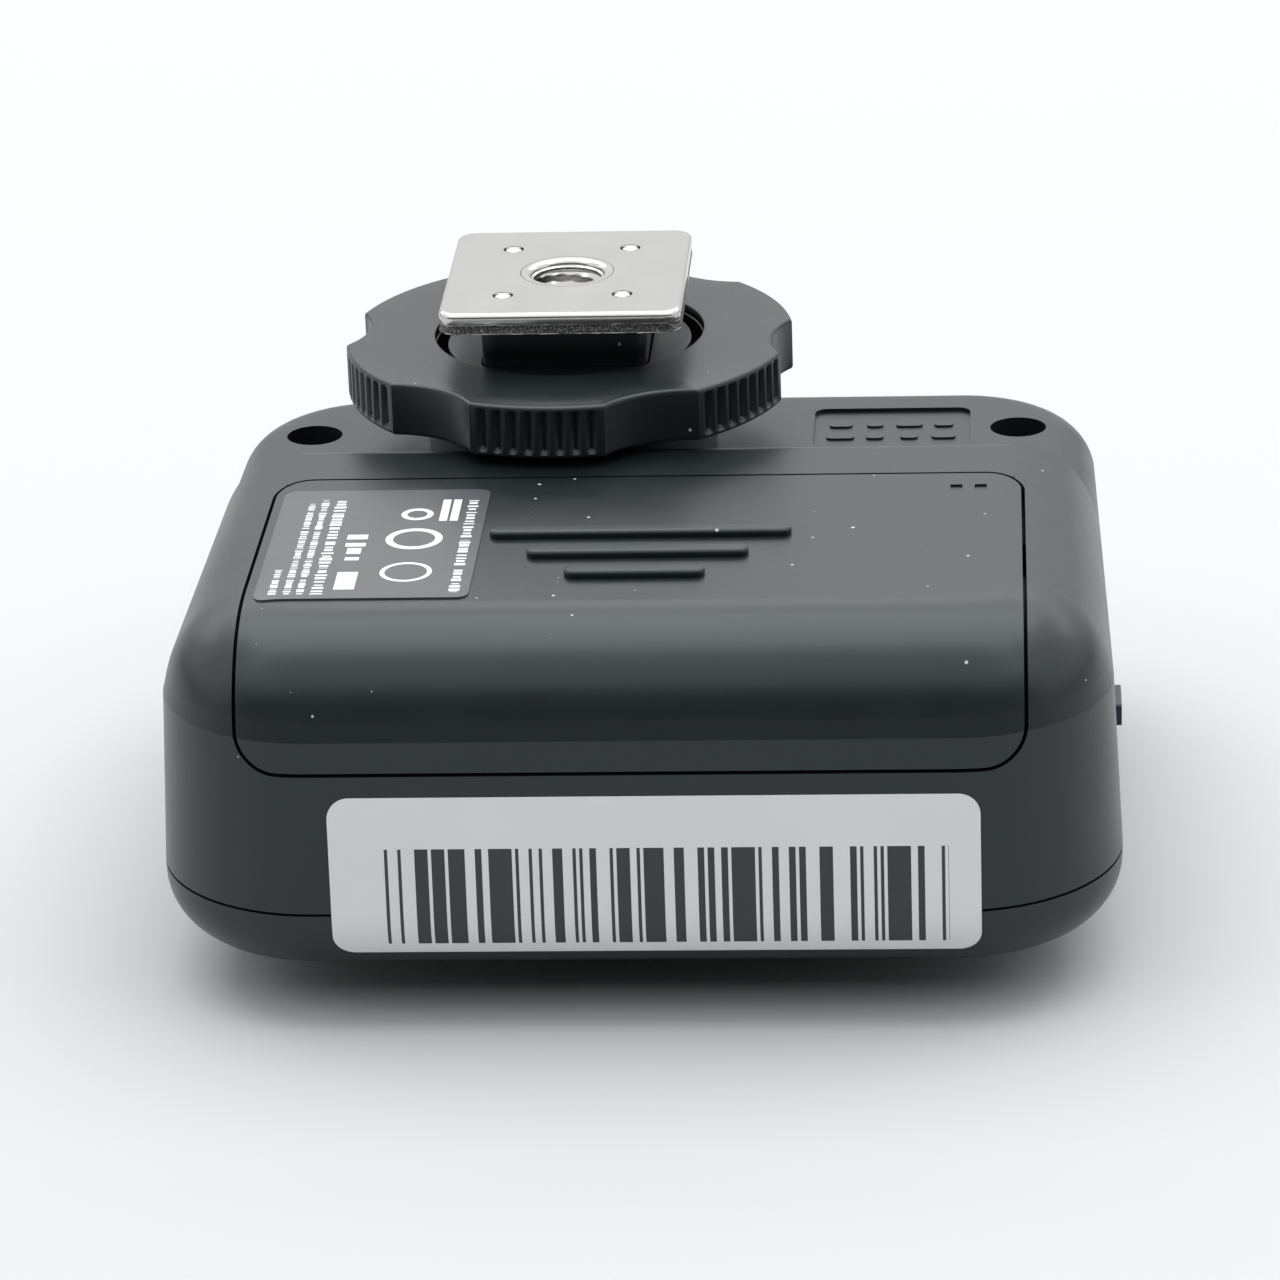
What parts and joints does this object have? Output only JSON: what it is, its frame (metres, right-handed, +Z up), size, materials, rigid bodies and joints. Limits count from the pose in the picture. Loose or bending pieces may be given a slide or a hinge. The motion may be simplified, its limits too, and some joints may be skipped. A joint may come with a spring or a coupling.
{
  "type": "wireless flash trigger",
  "caption": "Battery powered radio receiver for studio flash, with a shoe foot, lock ring, sliding battery door, buttons and an accessory shoe.",
  "frame": {"origin": "under the middle of the object, on the surface it stands on", "axes": "+X to the right, +Y from the battery end to the foot end, +Z up towards the foot plate"},
  "size_m": [0.0703, 0.0703, 0.0396],
  "materials": {
    "housing_plastic": "fine textured black ABS, semi-matt",
    "door_plastic": "fine textured black ABS, semi-matt",
    "ring_plastic": "moulded black nylon, semi-matt",
    "stem_plastic": "moulded black nylon, smooth",
    "button_rubber": "dark grey silicone",
    "knob_plastic": "black",
    "plate_nickel": "bright nickel plated steel",
    "thread_steel": "turned steel",
    "rail_steel": "bent plated steel sheet",
    "screw_steel": "blackened steel",
    "contact_brass": "gold flashed",
    "spring_steel": "nickel plated wire",
    "battery_sleeve": "plain printed sleeve",
    "board_green": "solder resist",
    "module_tin": "tinned can",
    "display_glass": "tinted clear plastic",
    "lamp_clear": "clear",
    "label_dark": "dark grey coated label",
    "label_white": "white coated label",
    "insulator_plastic": "black"
  },
  "bodies": {
    "root": {"battery_side_cover": "housing_plastic", "shoe_side_cover": "housing_plastic", "near_battery": "battery_sleeve", "far_battery": "battery_sleeve", "contact_plates": "spring_steel", "near_spring": "spring_steel", "far_spring": "spring_steel", "case_screws": "screw_steel", "foot_mount_screws": "screw_steel", "foot_pedestal": "stem_plastic", "foot_plate": "plate_nickel", "foot_plate_pins": "plate_nickel", "thread_bush": "thread_steel", "main_board": "board_green", "radio_module": "module_tin", "tact_switches": "insulator_plastic", "display_module": "module_tin", "display_window": "display_glass", "status_lamp": "lamp_clear", "power_switch": "insulator_plastic", "sync_jack": "insulator_plastic", "usb_socket": "spring_steel", "shoe_rails": "rail_steel", "shoe_block": "insulator_plastic", "shoe_contacts": "contact_brass", "shoe_screws": "screw_steel", "serial_label": "label_white"},
    "ring_slide": {"ring_sleeve": "ring_plastic"},
    "ring": {"lock_ring": "ring_plastic"},
    "door": {"battery_door": "door_plastic", "info_label": "label_dark"},
    "channel": {"channel_button": "button_rubber"},
    "group": {"group_button": "button_rubber"},
    "test": {"test_button": "button_rubber"},
    "knob": {"power_knob": "knob_plastic"}
  },
  "joints": [
    {"name": "door_slide", "type": "slide", "parent": "root", "child": "door", "axis": [0, -1, 0], "range_m": [0, 0.007]},
    {"name": "ring_travel", "type": "slide", "parent": "root", "child": "ring_slide", "axis": [0, 0, 1], "range_m": [0, 0.0024]},
    {"name": "ring_turn", "type": "hinge", "parent": "ring_slide", "child": "ring", "pos_m": [-0.0071, 0.0176, 0.03265], "axis": [0, 0, 1], "range_deg": [0, 360]},
    {"name": "channel_press", "type": "slide", "parent": "root", "child": "channel", "axis": [0, 0, 1], "range_m": [0, 0.00035], "stiffness_N_per_m": 600, "springref_m": -0.0002},
    {"name": "group_press", "type": "slide", "parent": "root", "child": "group", "axis": [0, 0, 1], "range_m": [0, 0.00035], "stiffness_N_per_m": 600, "springref_m": -0.0002},
    {"name": "test_press", "type": "slide", "parent": "root", "child": "test", "axis": [0, 0, 1], "range_m": [0, 0.00035], "stiffness_N_per_m": 600, "springref_m": -0.0002},
    {"name": "power_slide", "type": "slide", "parent": "root", "child": "knob", "axis": [0, 1, 0], "range_m": [0, 0.002]}
  ],
  "couplings": [
    {"joint": "ring_turn", "follows": "ring_travel", "rad_per_m": 2618}
  ]
}
